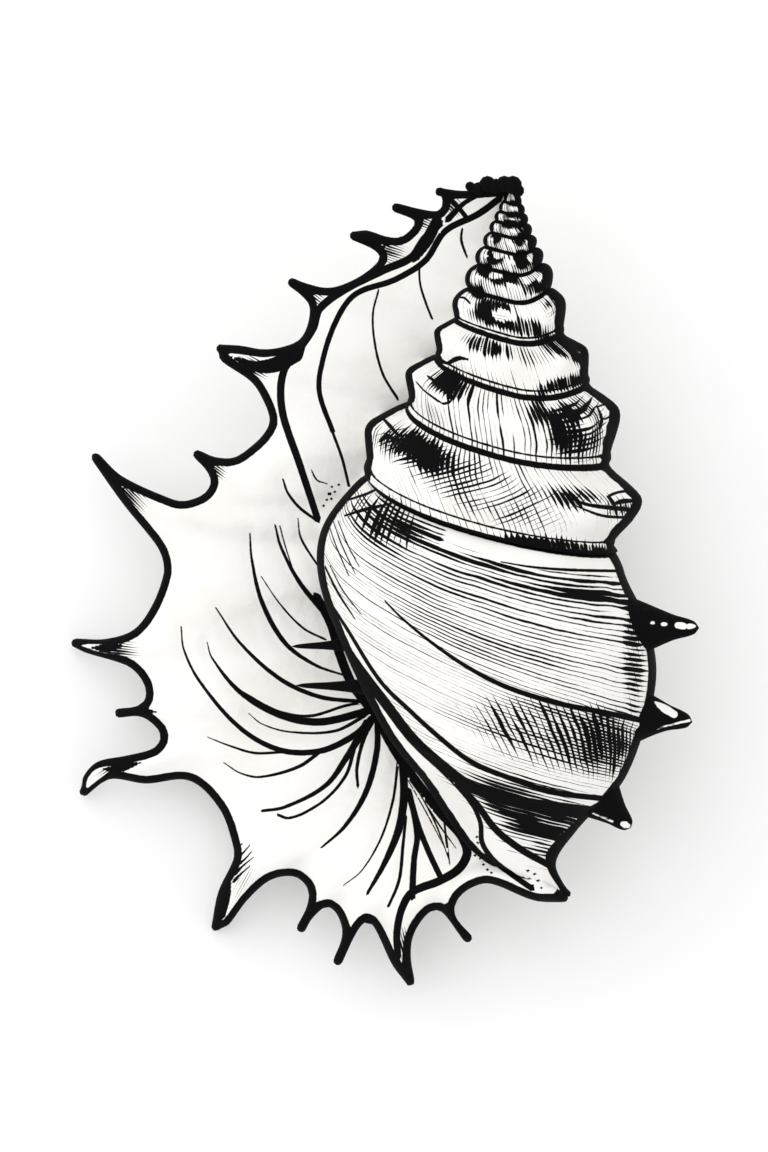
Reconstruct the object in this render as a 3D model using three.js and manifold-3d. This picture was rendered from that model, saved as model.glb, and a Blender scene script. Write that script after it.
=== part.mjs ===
// A murex shell, lying on its back with its mouth side up.
// It is one piece: a coiled spire and body whorl, a flared and spiny lip that grows out of the body
// whorl and runs up behind the spire, a hollow mouth between the two, and a short bent canal.
// Millimetres, +Z up. +Y points along the axis to the apex, and -X out over the lip.
// The coil is left-handed. The origin is under the middle of the shell, on the surface it rests on.
import * as THREE from 'three';
import { mergeVertices } from 'three/addons/utils/BufferGeometryUtils.js';
import { ParametricGeometry } from 'three/addons/geometries/ParametricGeometry.js';
import Module from 'manifold-3d';

const wasm = await Module();
wasm.setup();

// Coil
const apexY = 71.6;               // height of the apex along Y
const tipDepth = 128;             // apex to canal end, along the axis
const lastSuture = 54.5;          // apex to the suture of the body whorl, on the mouth side
const whorlGrowth = 1.29;         // each whorl is this much larger than the one before
const spireWhorls = 8;
const apexWidth = 1.2;            // bluntness of the apex
const depthRatio = 0.85;          // the shell is a little flattened from front to back
const sideSlope = 0.15;           // the coils run down to the right...
const frontSlope = 0.25;          // ...and sag towards the front
const knobsPerWhorl = 8;
const knobDip = 0.03;             // how far the shoulder dips between knobs, in shares of the depth
// Depth below the apex, and where the axis passes there in X and Z.
const axisX = through([[0, 23], [28, 22.3], [40, 22.2], [54, 18.9], [66, 16], [77, 16.8], [85, 18.4],
  [94, 20], [101, 21], [108, 21.8], [114, 22.1], [120.5, 23.4], [125.6, 28.7], [128, 32.2]]);
const axisZ = through([[0, 37.5], [55, 28.8], [80, 25.6], [105, 23.4], [128, 19]]);
// On the right the upper coils rise again and are narrower, both in shares of their radius.
const rightLift = through([[0, 0.4], [9, 0.4], [13, 0.5], [18, 0.6], [22, 0.58], [29, 0.33], [37, 0.24],
  [48, 0.05], [60, 0]]);
const rightPinch = through([[0, 0.2], [15, 0.19], [19, 0.17], [25, 0.13], [32, 0.11], [41, 0.055],
  [50, 0], [60, 0]]);
// Radius of a spire whorl from its upper suture to the next, in shares of the upper suture's depth.
const whorlRadius = through([[0, 0.375], [0.06, 0.385], [0.22, 0.455], [0.34, 0.503], [0.44, 0.515],
  [0.55, 0.511], [0.8, 0.488], [0.88, 0.484], [0.94, 0.5], [1, 0.484]]);
const whorlRows = [0, 0.08, 0.28, 0.44, 0.7, 0.93];
const spireWidth = through([[0, 0.97], [26, 0.97], [38, 1.08], [60, 1.06]]);
const whorlColumns = 24;
// Radius of the body whorl, from its suture (0) to the end of the canal (1).
const bodyRadius = through([[0, 22.2], [0.05, 25], [0.16, 28.8], [0.27, 29.8], [0.39, 28], [0.5, 24.9],
  [0.61, 21.4], [0.67, 18.6], [0.72, 15.4], [0.8, 11.2], [0.89, 7.4], [0.96, 3.6], [0.985, 2.3], [1, 0]]);
const bodyRows = [0, 0.03, 0.08, 0.16, 0.27, 0.38, 0.44, 0.52, 0.6, 0.66, 0.7, 0.76, 0.83, 0.9, 0.95,
  0.985, 1];
const bodyColumns = 32;
const bodySwell = 0.2;            // how much the last whorl widens over one turn
const columellaHeight = 1.4;      // smooth ridge down the mouth side of the body whorl

// Lip
const lipThickness = 2.6;
const lipColumns = 8;             // from one spine to the next
const lipRows = [0, 0.35, 0.65, 0.87, 1];
// Each spine of the lip: its tip, the middle of its root, half its width there, and the point deep inside
// the coil that it radiates from. Each valley is the bottom of the web from the spine before it.
const lipSpines = [
  { tip: [22, 71.5, 41], root: [22, 69, 40], half: 0.6, inner: [22.2, 66, 38] },
  { tip: [10, 69.9, 40], root: [13, 67.2, 38.5], half: 1.6, inner: [21.5, 63, 37], valley: [15.2, 69.8] },
  { tip: [1.8, 67.4, 37.5], root: [7.6, 65, 36], half: 1.7, inner: [20.5, 58, 35], valley: [9.4, 67.0] },
  { tip: [-5.8, 62.2, 34], root: [2, 59.8, 33], half: 2.1, inner: [19, 51, 32], valley: [4.1, 63.2] },
  { tip: [-16.7, 53.8, 29], root: [-12, 50.6, 29], half: 2.3, inner: [17, 43, 28], valley: [-1.7, 57.2] },
  { tip: [-29.3, 42.1, 21.5], root: [-22.5, 38.6, 24.5], half: 3.2,
    inner: [14, 33, 24], valley: [-15.5, 44.5] },
  { tip: [-33.5, 23.1, 16], root: [-29.5, 20.3, 18], half: 2, inner: [10, 21, 19], valley: [-20.8, 28.7] },
  { tip: [-52, 22.8, 9], root: [-44.6, 15.4, 15], half: 3.4, inner: [7, 11, 13], valley: [-35.6, 14.1] },
  { tip: [-56.6, -10.8, 0.4], root: [-46.6, -11.6, 11], half: 2.8, inner: [8, 0, 6], valley: [-39.9, 2.4] },
  { tip: [-48.6, -23.5, 5], root: [-42.8, -23.6, 10.5], half: 1.9,
    inner: [9, -9, 5.5], valley: [-43.1, -19.3] },
  { tip: [-54.8, -37.7, 0.4], root: [-48.2, -33.4, 8.5], half: 2.4,
    inner: [10, -18, 7], valley: [-40.8, -28.8] },
  { tip: [-30.5, -62.5, 0.4], root: [-25, -51.7, 9.5], half: 3,
    inner: [13, -28, 10.5], valley: [-33.9, -36.9] },
  { tip: [-14.9, -62.7, 7], root: [-13, -58, 10.5], half: 1.8,
    inner: [15.5, -34, 14], valley: [-18.5, -52.9] },
  { tip: [-8.5, -68.7, 5.5], root: [-6.4, -63, 10.5], half: 2,
    inner: [17.5, -39, 16], valley: [-10.9, -58.1] },
  { tip: [4.7, -72.4, 5], root: [3, -63.8, 12], half: 2.6, inner: [19.5, -44, 17.5], valley: [-3.7, -60.2] },
  { tip: [15.2, -64.2, 12], root: [12.2, -59.4, 14.5], half: 1.7,
    inner: [20.5, -48, 20], valley: [9, -59] },
  { tip: [30, -56.6, 18], root: [27, -55.5, 19], half: 2, inner: [25, -51, 21], valley: [18.0, -53.9] },
];
const lipRise = 4.5;              // how far the lip arches up between the mouth and its edge
const lipBend = 0.3;              // how far in from the edge the lip runs straight on from its spines
const spineReach = 0.5;           // share of a spine that the web runs along
const spineSides = 6;
const spineFlatness = 0.75;       // a spine is thinner than it is wide

// Spines on the body whorl, from root to tip with the radius at the root: three on the right, and two
// small thorns on the mouth side.
const bodySpines = [
  { root: [41, -8, 30], tip: [56.4, -7.9, 30], radius: 7.2 },
  { root: [41, -23.4, 28.5], tip: [55.2, -24.8, 27.5], radius: 7.4 },
  { root: [35, -34.6, 26.5], tip: [44.2, -43.8, 25], radius: 7.4 },
  { root: [0, -10.6, 29], tip: [-16.8, -11.2, 27], radius: 2.2 },
  { root: [3, -18.4, 28], tip: [-16, -18.2, 25], radius: 2.4 },
];
// Knobs that crown the apex, as centre and radius.
const apexKnobs = [
  { centre: [22.6, 71, 40], radius: 2.1 },
  { centre: [19.3, 71, 40.3], radius: 1.8 },
  { centre: [16.3, 70.3, 39.3], radius: 1.3 },
];

// Mouth: a flattened horn that curls from the lip round the back of the body whorl.
// Middle of the horn, half its length along the mouth, and half its height.
const mouthDirection = new THREE.Vector3(0.43, -0.9, 0).normalize();
const mouthStations = [
  { middle: [-27, -18, 24], along: 0, across: 0 },
  { middle: [-24, -18, 23.5], along: 25, across: 6 },
  { middle: [-10, -17, 19.5], along: 25, across: 6 },
  { middle: [2, -15, 14.5], along: 18, across: 5 },
  { middle: [14, -11, 11], along: 13, across: 4.5 },
  { middle: [26, -8, 13], along: 10, across: 4 },
  { middle: [33, -6, 19], along: 5, across: 2 },
  { middle: [34, -6, 22], along: 0, across: 0 },
];
const mouthSides = 16;

// A smooth curve through knots [x, y], as a function of x.
function through(knots) {
  const slopes = knots.map((knot, i) => {
    const before = knots[Math.max(i - 1, 0)];
    const after = knots[Math.min(i + 1, knots.length - 1)];
    return (after[1] - before[1]) / (after[0] - before[0]);
  });
  return (x) => {
    let i = 0;
    while (i < knots.length - 2 && x > knots[i + 1][0]) i++;
    const width = knots[i + 1][0] - knots[i][0];
    const s = THREE.MathUtils.clamp((x - knots[i][0]) / width, 0, 1);
    return knots[i][1] * (1 + 2 * s) * (1 - s) ** 2 + knots[i + 1][1] * s * s * (3 - 2 * s)
      + width * s * (1 - s) * (slopes[i] * (1 - s) - slopes[i + 1] * s);
  };
}

// Depth of the suture line below the apex, after so many turns past the start of the body whorl.
function sutureDepth(turn) {
  const age = turn + spireWhorls;
  const tip = 1 - Math.exp(-1.3 * Math.max(age, 0));
  return lastSuture * whorlGrowth ** turn * tip;
}

// A point of the coil: how far round (0 left, 0.25 front, 0.5 right, 0.75 back), depth and radius.
function coilPoint(turn, depth, radius, target) {
  const angle = turn * 2 * Math.PI;
  const right = Math.max(0, -Math.cos(angle));
  const side = -radius * Math.cos(angle) * (1 - rightPinch(depth) * right);
  const front = radius * Math.sin(angle) * depthRatio;
  const lift = rightLift(depth) * radius * right ** 2;
  return target.set(axisX(depth) + side, apexY - depth - sideSlope * side - frontSlope * front + lift,
    axisZ(depth) + front);
}

// The spire: one strip that winds down from the apex, its lower edge meeting the upper edge of the
// next whorl. Its last quarter turn sinks into the body whorl.
function spire() {
  const rows = (spireWhorls + 1) * whorlRows.length;
  const core = coilPoint(0, lastSuture * 1.15, 0, new THREE.Vector3());
  return solid(new ParametricGeometry((u, v, target) => {
    const row = Math.round(v * (rows + 1));
    if (row > rows) return target.copy(core);
    const share = whorlRows[row % whorlRows.length];
    const upper = Math.floor(row / whorlRows.length) - spireWhorls - 1 + u;
    const knob = (0.5 + 0.5 * Math.cos(knobsPerWhorl * 2 * Math.PI * u)) ** 2;
    const dip = knobDip * (1 - knob) * Math.exp(-(((share - 0.42) / 0.2) ** 2));
    const depth = sutureDepth(upper + share);
    const blunt = apexWidth * THREE.MathUtils.smoothstep(depth, 0, apexWidth);
    const widthHere = spireWidth(depth) * (depth + blunt) / whorlGrowth ** share;
    coilPoint(u, depth, (whorlRadius(share) - dip) * widthHere, target);
    const inLastWhorl = row > rows - whorlRows.length;
    return inLastWhorl ? target.lerp(core, THREE.MathUtils.smoothstep(u, 0.75, 1)) : target;
  }, whorlColumns, rows + 1));
}

// The body whorl, from its suture down over the base to the end of the canal.
function bodyWhorl() {
  const rows = bodyRows.length;
  return solid(new ParametricGeometry((u, v, target) => {
    const row = Math.round(v * rows);
    const turn = u * (1 - THREE.MathUtils.smoothstep(u, 0.68, 0.95));
    const top = sutureDepth(turn);
    if (row === 0) return coilPoint(0, lastSuture * 1.1, 0, target);
    const share = bodyRows[row - 1];
    const fromRidge = (u + 0.45) % 1 - 0.5;
    const ridge = Math.exp(-((fromRidge / 0.04) ** 2)) * THREE.MathUtils.smoothstep(share, 0.3, 0.55)
      * (1 - THREE.MathUtils.smoothstep(share, 0.93, 1));
    const radius = bodyRadius(share) * (1 + bodySwell * (turn - 0.25)) + columellaHeight * ridge;
    return coilPoint(u, top + (tipDepth - top) * share, share === 1 ? 0 : radius, target);
  }, bodyColumns, rows));
}

// The hollow of the mouth.
function mouth() {
  const last = mouthStations.length - 1;
  return solid(new ParametricGeometry((u, v, target) => {
    const station = mouthStations[Math.round(v * last)];
    const angle = u * 2 * Math.PI;
    target.set(...station.middle).addScaledVector(mouthDirection, station.along * Math.cos(angle));
    target.z += station.across * Math.sin(angle);
    return target;
  }, mouthSides, last));
}

// The outer edge of the lip between two neighbouring spines, from the ridge of one spine round the bottom
// of the web to the ridge of the next, with the way inwards at each point.
function webEdge(before, after) {
  const valley = new THREE.Vector3(...after.valley, (before.root[2] + after.root[2]) / 2);
  const start = spineSide(before, before.half);
  const end = spineSide(after, -after.half);
  const bend = 0.3 * start.side.distanceTo(end.side);
  const scallop = new THREE.CubicBezierCurve3(start.side,
    start.side.clone().addScaledVector(start.inward, bend),
    end.side.clone().addScaledVector(end.inward, bend), end.side);
  const correction = valley.sub(scallop.getPoint(0.5)).divideScalar(0.75);
  scallop.v1.add(correction);
  scallop.v2.add(correction);
  const points = [start.ridge, ...scallop.getPoints(lipColumns - 2), end.ridge];
  return points.map((point, i) => ({
    point, inward: start.inward.clone().lerp(end.inward, i / lipColumns).normalize() }));
}

// A spine as the web beside it sees it: where the web leaves its ridge, the side of its root, so far off
// its middle, and the way inwards along it.
function spineSide(spine, offset) {
  const root = new THREE.Vector3(...spine.root);
  const out = new THREE.Vector3(...spine.tip).sub(root);
  const across = new THREE.Vector3(-out.y, out.x, 0).normalize();
  const ridge = root.clone().addScaledVector(out, spineReach);
  return { ridge, side: root.addScaledVector(across, offset), inward: out.setZ(0).normalize().negate() };
}

// The middle surface of the lip: from deep inside the coil out to the scalloped edge, arched on the way.
function lipMiddle(column, share, target = new THREE.Vector3()) {
  const { point, inward } = lipEdge[column];
  const start = lipInner.getPoint(column / (lipEdge.length - 1));
  const bend = point.clone().addScaledVector(inward, lipBend * start.distanceTo(point));
  const arch = lipRise * Math.sin(Math.PI * share ** 1.3)
    * THREE.MathUtils.smoothstep(column / lipColumns, 3, 8);
  new THREE.QuadraticBezierCurve3(start, bend, point).getPoint(share, target);
  return target.setZ(THREE.MathUtils.lerp(start.z, point.z, share) + arch);
}

// The lip as a sheet that thins out to its edge.
function lip() {
  const columns = lipEdge.length - 1;
  const stacks = 2 * lipRows.length - 1;
  return solid(new ParametricGeometry((u, v, target) => {
    const column = Math.round(v * columns);
    const side = Math.round(u * stacks) % stacks;
    const upper = side < lipRows.length;
    const share = lipRows[upper ? side : stacks - side];
    const atEnd = column === 0 || column === columns;
    const half = atEnd ? 0 : lipThickness / 2 * Math.sqrt(1 - 0.85 * share ** 6);
    lipMiddle(column, share, target).z += upper ? half : -half;
    return target;
  }, stacks, columns));
}

// A tapered spine along a curve, with its radius given along it.
function taper(curve, radiusAt, rings, flatness) {
  const up = new THREE.Vector3(0, 0, 1);
  const sideways = new THREE.Vector3();
  const upward = new THREE.Vector3();
  return solid(new ParametricGeometry((u, v, target) => {
    const angle = u * 2 * Math.PI;
    const ahead = curve.getTangent(v);
    sideways.crossVectors(ahead, up).normalize();
    upward.crossVectors(sideways, ahead);
    const radius = radiusAt(v);
    return target.copy(curve.getPoint(v)).addScaledVector(sideways, radius * Math.cos(angle))
      .addScaledVector(upward, radius * flatness * Math.sin(angle));
  }, spineSides, rings));
}

// A spine of the lip, thickest at its root and running back as a rib that fades into the sheet.
function lipSpine({ tip, half }, order) {
  const rib = [1, 0.88, 0.7].map((share) => lipMiddle(order * lipColumns, share));
  const curve = new THREE.CatmullRomCurve3([new THREE.Vector3(...tip), ...rib]);
  const radius = through([[0, 0.7], [0.33, 0.4 + half * 0.45], [0.67, half * 0.95], [1, 0]]);
  return taper(curve, (v) => (v === 0 || v === 1 ? 0 : radius(v)), 5, spineFlatness);
}

// A spine of the body whorl, with a flared root.
function bodySpine({ root, tip, radius }) {
  const curve = new THREE.LineCurve3(new THREE.Vector3(...root), new THREE.Vector3(...tip));
  const width = through([[0, radius], [0.3, radius * 0.66], [0.65, radius * 0.33], [0.96, radius * 0.14],
    [1, 0]]);
  return taper(curve, (v) => (v === 0 || v === 1 ? 0 : width(v)), 6, 1);
}

function apexKnob({ centre, radius }) {
  return solid(new THREE.SphereGeometry(radius, 8, 6).translate(...centre));
}

// A closed geometry as a solid, with its seams joined and its collapsed faces dropped.
function solid(geometry) {
  geometry.deleteAttribute('normal');
  geometry.deleteAttribute('uv');
  const merged = mergeVertices(geometry, 1e-4);
  const corners = merged.index.array;
  const kept = [];
  for (let i = 0; i < corners.length; i += 3) {
    const [a, b, c] = corners.slice(i, i + 3);
    if (a !== b && b !== c && c !== a) kept.push(a, b, c);
  }
  const close = (triVerts) => new wasm.Manifold(new wasm.Mesh({
    numProp: 3, vertProperties: merged.attributes.position.array, triVerts }));
  const made = close(Uint32Array.from(kept));
  return made.volume() > 0 ? made : close(Uint32Array.from(kept).reverse());
}

// The surface of a solid as a geometry.
function surface(body) {
  const mesh = body.getMesh();
  return new THREE.BufferGeometry()
    .setAttribute('position', new THREE.BufferAttribute(mesh.vertProperties, 3))
    .setIndex(new THREE.BufferAttribute(mesh.triVerts, 1));
}

const lipEdge = lipSpines.slice(1).flatMap((spine, i) => webEdge(lipSpines[i], spine).slice(i ? 1 : 0));
const lipInner = new THREE.CatmullRomCurve3(lipSpines.map((spine) => new THREE.Vector3(...spine.inner)));
let shell = spire().add(bodyWhorl()).subtract(mouth()).add(lip());
lipSpines.slice(1, -1).forEach((spine, i) => {
  shell = shell.add(lipSpine(spine, i + 1));
});
for (const spine of bodySpines) shell = shell.add(bodySpine(spine));
for (const knob of apexKnobs) shell = shell.add(apexKnob(knob));
// The back of the body whorl and the lowest spine tips are worn flat where the shell lies.
const ground = solid(new THREE.BoxGeometry(200, 200, 40).translate(0, 0, -20));
shell = shell.subtract(ground);

const geometry = surface(shell);
geometry.computeBoundingBox();
const middle = geometry.boundingBox.getCenter(new THREE.Vector3());
geometry.translate(-middle.x, -middle.y, -geometry.boundingBox.min.z);

const murexShell = new THREE.Mesh(geometry, new THREE.MeshStandardMaterial({
  color: 0xe9e4da, roughness: 0.55, metalness: 0 }));
murexShell.name = 'murex_shell';

const part = new THREE.Group();
part.add(murexShell);
export default part;
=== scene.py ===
import bpy
import bmesh
import math
from mathutils import Matrix, Vector, kdtree


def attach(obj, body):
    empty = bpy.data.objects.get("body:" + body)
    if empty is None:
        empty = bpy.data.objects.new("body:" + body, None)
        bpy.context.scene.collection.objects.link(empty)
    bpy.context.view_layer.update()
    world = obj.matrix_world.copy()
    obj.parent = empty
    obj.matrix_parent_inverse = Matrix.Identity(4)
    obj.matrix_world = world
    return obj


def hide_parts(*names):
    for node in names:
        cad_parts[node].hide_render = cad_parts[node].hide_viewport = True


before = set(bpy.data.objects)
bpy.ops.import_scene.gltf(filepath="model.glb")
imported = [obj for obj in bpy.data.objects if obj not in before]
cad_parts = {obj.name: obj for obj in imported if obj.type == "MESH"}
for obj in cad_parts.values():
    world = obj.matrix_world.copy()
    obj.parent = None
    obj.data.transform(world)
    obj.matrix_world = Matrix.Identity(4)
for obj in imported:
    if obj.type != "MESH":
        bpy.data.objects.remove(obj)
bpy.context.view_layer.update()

# The shell is laid out in millimetres and made metres at the end.
# Points of the picture are its pixels, x to the right and y down.
metresPerMm = 0.001
picture = {"wide": 768, "tall": 1152, "pixel": 0.18, "midX": 384, "midY": 582}


def fromPicture(x, y):
    return Vector(((x - picture["midX"]) * picture["pixel"], (picture["midY"] - y) * picture["pixel"], 0))


def fromAbove(point):  # where a point is seen from above
    return Vector((point.x, point.y, 0))


def smoothstep(x, low, high):
    s = min(max((x - low) / (high - low), 0), 1)
    return s * s * (3 - 2 * s)


def hump(x, width):
    return math.exp(-(x / width) ** 2)


def through(knots):  # a smooth curve through knots (x, y), as a function of x
    slopes = []
    for i in range(len(knots)):
        before, after = knots[max(i - 1, 0)], knots[min(i + 1, len(knots) - 1)]
        slopes.append((after[1] - before[1]) / (after[0] - before[0]))

    def curve(x):
        i = 0
        while i < len(knots) - 2 and x > knots[i + 1][0]:
            i += 1
        width = knots[i + 1][0] - knots[i][0]
        s = min(max((x - knots[i][0]) / width, 0), 1)
        held = knots[i][1] * (1 + 2 * s) * (1 - s) ** 2 + knots[i + 1][1] * s * s * (3 - 2 * s)
        return held + width * s * (1 - s) * (slopes[i] * (1 - s) - slopes[i + 1] * s)

    return curve


def smoothPath(points, step):  # evenly spaced points on a smooth line through a few
    along = [0]
    for a, b in zip(points, points[1:]):
        along.append(along[-1] + (b - a).length)
    axes = [through([(s, p[k]) for s, p in zip(along, points)]) for k in range(3)]
    count = max(4, round(along[-1] / step))
    return [Vector([axis(along[-1] * i / count) for axis in axes]) for i in range(count + 1)]


def rolledGrid(bm, columns, rows, place):  # a flat grid, rolled or bent into a closed form
    made = bmesh.ops.create_grid(bm, x_segments=columns, y_segments=rows, size=0.5, calc_uvs=True)
    verts = made["verts"]
    faces = list({face for vert in verts for face in vert.link_faces})
    for vert in verts:
        vert.co = place(vert.co.x + 0.5, vert.co.y + 0.5)
    bmesh.ops.remove_doubles(bm, verts=verts, dist=1e-4)
    faces = [face for face in faces if face.is_valid]
    bmesh.ops.recalc_face_normals(bm, faces=faces)
    return faces


def addObject(name, data):
    made = bpy.data.objects.new(name, data)
    bpy.context.scene.collection.objects.link(made)
    return made


def meshObject(name, bm):  # made from a bmesh, which it frees
    mesh = bpy.data.meshes.new(name)
    bm.to_mesh(mesh)
    bm.free()
    return addObject(name, mesh)


# Coil: depths run down from the apex, and a turn of 0 is left, 0.25 front, 0.5 right, 0.75 back.
coil = {
    "middle": (0.1, -0.35),
    "apexY": 71.6,
    "tipDepth": 128,
    "lastSuture": 54.5,
    "growth": 1.29,
    "whorls": 11,
    "apexRate": 1.3,  # how soon the first turns reach that growth
    "apexWidth": 1.2,
    "depthRatio": 0.85,
    "sideSlope": 0.15,
    "frontSlope": [(0, 0.03), (20, 0.02), (29, 0.17), (38, 0.25), (60, 0.25)],
    # On the right the upper coils rise again and are narrower, both in shares of their radius.
    "lift": [(0, 0.4), (9, 0.4), (13, 0.5), (18, 0.6), (22, 0.58), (29, 0.33), (37, 0.24), (48, 0.05),
             (60, 0)],
    "pinch": [(0, 0.2), (15, 0.19), (19, 0.17), (25, 0.13), (32, 0.11), (41, 0.055), (50, 0), (60, 0)],
    "axisX": [(0, 23), (28, 22.3), (40, 22.2), (54, 18.9), (66, 16), (77, 16.8), (85, 18.4), (94, 20),
              (101, 21), (108, 21.8), (114, 22.1), (120.5, 23.4), (125.6, 28.7), (128, 32.2)],
    "axisZ": [(0, 37.5), (55, 28.8), (80, 25.6), (105, 23.4), (128, 19)],
}
axisX = through(coil["axisX"])
axisZ = through(coil["axisZ"])
frontSlope = through(coil["frontSlope"])
rightLift = through(coil["lift"])
rightPinch = through(coil["pinch"])
middleShift = Vector((*coil["middle"], 0))


def sutureDepth(turn):
    tip = 1 - math.exp(-coil["apexRate"] * max(turn + coil["whorls"], 0))
    return coil["lastSuture"] * coil["growth"] ** turn * tip


def rightness(turn):  # 1 on the right of the coil, 0 on all of its left
    return max(0, -math.cos(turn * 2 * math.pi))


def coilPoint(turn, depth, radius):
    cosine = math.cos(turn * 2 * math.pi)
    right = rightness(turn)
    side = -radius * cosine * (1 - rightPinch(depth) * right)
    front = radius * math.sin(turn * 2 * math.pi) * coil["depthRatio"]
    lift = rightLift(depth) * radius * right ** 2
    y = coil["apexY"] - depth - coil["sideSlope"] * side - frontSlope(depth) * front + lift
    return Vector((axisX(depth) + side + coil["middle"][0], y + coil["middle"][1], axisZ(depth) + front))


# Spire: one strip that winds down from the apex, each whorl with knobs on its shoulder and a rim below.
spire = {
    "radius": [(0, 0.375), (0.06, 0.385), (0.22, 0.455), (0.34, 0.503), (0.44, 0.515), (0.55, 0.511),
               (0.8, 0.488), (0.88, 0.484), (0.94, 0.491), (1, 0.478)],
    "width": [(0, 0.97), (26, 0.97), (38, 1.08), (60, 1.06)],
    "shares": [0, 0.03, 0.07, 0.12, 0.18, 0.24, 0.29, 0.34, 0.39, 0.44, 0.5, 0.56, 0.64, 0.72, 0.8, 0.87,
               0.91, 0.95],
    "columns": 112,
    "knobs": 8,
    "knobShare": 0.42,  # how far down its whorl a knob is
    "knobHalf": 0.2,
    "dip": 0.03,  # of the shoulder between its knobs
    "upperCone": (0.375, 0.478),  # radius of the round upper whorls at their top and bottom
    "upperBulge": 0.085,
    "upperRoundness": 0.6,
    "upperDepths": (30, 20),  # over which the whorls turn round
    "tuck": 0.05,  # how far the last rim draws in on the right
    "tuckShares": (0.6, 1),
    "runOut": (0.75, 1),  # where the last whorl ends inside the body whorl
    "coreDepth": 1.15,  # of that end, as a share of the last suture's depth
}
whorlRadius = through(spire["radius"])
spireWidth = through(spire["width"])
spireRows = (coil["whorls"] + 1) * len(spire["shares"])


def knobAt(turn, share):
    swell = (0.5 + 0.5 * math.cos(spire["knobs"] * 2 * math.pi * turn)) ** 2
    return swell, hump(share - spire["knobShare"], spire["knobHalf"])


def spirePoint(u, v):
    row = round(v * (spireRows + 1))
    core = coilPoint(0, coil["lastSuture"] * spire["coreDepth"], 0)
    if row > spireRows:
        return core
    perWhorl = len(spire["shares"])
    share = spire["shares"][row % perWhorl]
    depth = sutureDepth(row // perWhorl - coil["whorls"] - 1 + u + share)
    blunt = coil["apexWidth"] * smoothstep(depth, 0, coil["apexWidth"])
    width = spireWidth(depth) * (depth + blunt) / coil["growth"] ** share
    swell, shoulder = knobAt(u, share)
    stepped = whorlRadius(share) - spire["dip"] * (1 - swell) * shoulder
    coneTop, coneBottom = spire["upperCone"]
    bulge = spire["upperBulge"] * math.sin(math.pi * share) ** spire["upperRoundness"]
    beaded = coneTop + (coneBottom - coneTop) * share + bulge
    radius = width * (stepped + (beaded - stepped) * smoothstep(depth, *spire["upperDepths"]))
    if row <= spireRows - perWhorl:
        return coilPoint(u, depth, radius)
    radius *= 1 - spire["tuck"] * rightness(u) * smoothstep(share, *spire["tuckShares"])
    return coilPoint(u, depth, radius).lerp(core, smoothstep(u, *spire["runOut"]))


# Body whorl, from its suture over the base to the end of the canal.
body = {
    "radius": [(0, 22.2), (0.05, 25), (0.16, 28.8), (0.27, 29.8), (0.39, 28), (0.5, 24.9), (0.61, 21.4),
               (0.67, 18.6), (0.72, 15.4), (0.8, 11.2), (0.89, 6.9), (0.96, 3.8), (0.985, 2.8), (1, 0)],
    "columns": 160,
    "rows": 96,
    "coreDepth": 1.1,  # of its closed top, as a share of the last suture's depth
    "swell": 0.2,
    "back": (0.68, 0.95),  # the turns over which it is brought back to its start
    "columella": {"height": 1.4, "turn": 0.05, "half": 0.04, "rise": (0.3, 0.55), "fall": (0.93, 1)},
    "shoulder": {"height": 1.2, "half": 0.06},  # on the right, under the last whorl of the spire
    "keel": {"start": 0.17, "fall": 0.62, "height": 0.5, "half": 0.012},
    "baseKeel": {"start": 0.56, "fall": 0.3, "height": 0.7, "half": 0.014},
    "keelBack": (0.6, 0.97),
    "keelStart": (0.04, 0.14),
    "keelEnd": (0.8, 0.95),
}
bodyRadius = through(body["radius"])


def keelShare(keel, turn):  # where a keel runs, brought back to its start behind the shell
    return keel["start"] + keel["fall"] * turn * (1 - smoothstep(turn, *body["keelBack"]))


def windOn(turn):
    return turn * (1 - smoothstep(turn, *body["back"]))


def bodyTop(turn):
    return sutureDepth(windOn(turn))


def bodyShare(v):
    return max(0, (v * body["rows"] - 1) / (body["rows"] - 1))


def bodyWidth(turn, share):  # the last whorl widens as it winds on
    return bodyRadius(share) * (1 + body["swell"] * (windOn(turn) - 0.25))


def bodyPoint(u, v):
    if v < 0.5 / body["rows"]:
        return coilPoint(0, coil["lastSuture"] * body["coreDepth"], 0)
    share = bodyShare(v)
    columella, shoulder = body["columella"], body["shoulder"]
    fromRidge = (u - columella["turn"] + 0.5) % 1 - 0.5
    ridge = hump(fromRidge, columella["half"]) * smoothstep(share, *columella["rise"])
    ridge *= 1 - smoothstep(share, *columella["fall"])
    radius = bodyWidth(u, share) + columella["height"] * ridge
    radius += shoulder["height"] * rightness(u) * hump(share, shoulder["half"])
    fade = smoothstep(u, *body["keelStart"]) * (1 - smoothstep(u, *body["keelEnd"]))
    for keel in (body["keel"], body["baseKeel"]):
        radius += fade * keel["height"] * hump(share - keelShare(keel, u), keel["half"])
    top = bodyTop(u)
    return coilPoint(u, top + (coil["tipDepth"] - top) * share, 0 if share > 0.9999 else radius)


# Mouth: a flattened horn that curls from the lip round the back of the body whorl.
mouth = {
    "direction": (0.43, -0.9, 0),
    "stations": [  # middle, half its length along the mouth, half its height
        ((-27, -18, 24), 0, 0),
        ((-24, -18, 23.5), 25, 6),
        ((-10, -17, 19.5), 25, 6),
        ((2, -15, 14.5), 18, 5),
        ((14, -11, 11), 13, 4.5),
        ((26, -8, 13), 10, 4),
        ((33, -6, 19), 5, 2),
        ((34, -6, 22), 0, 0),
    ],
    "sides": 48,
    "steps": 6,
}


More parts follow.
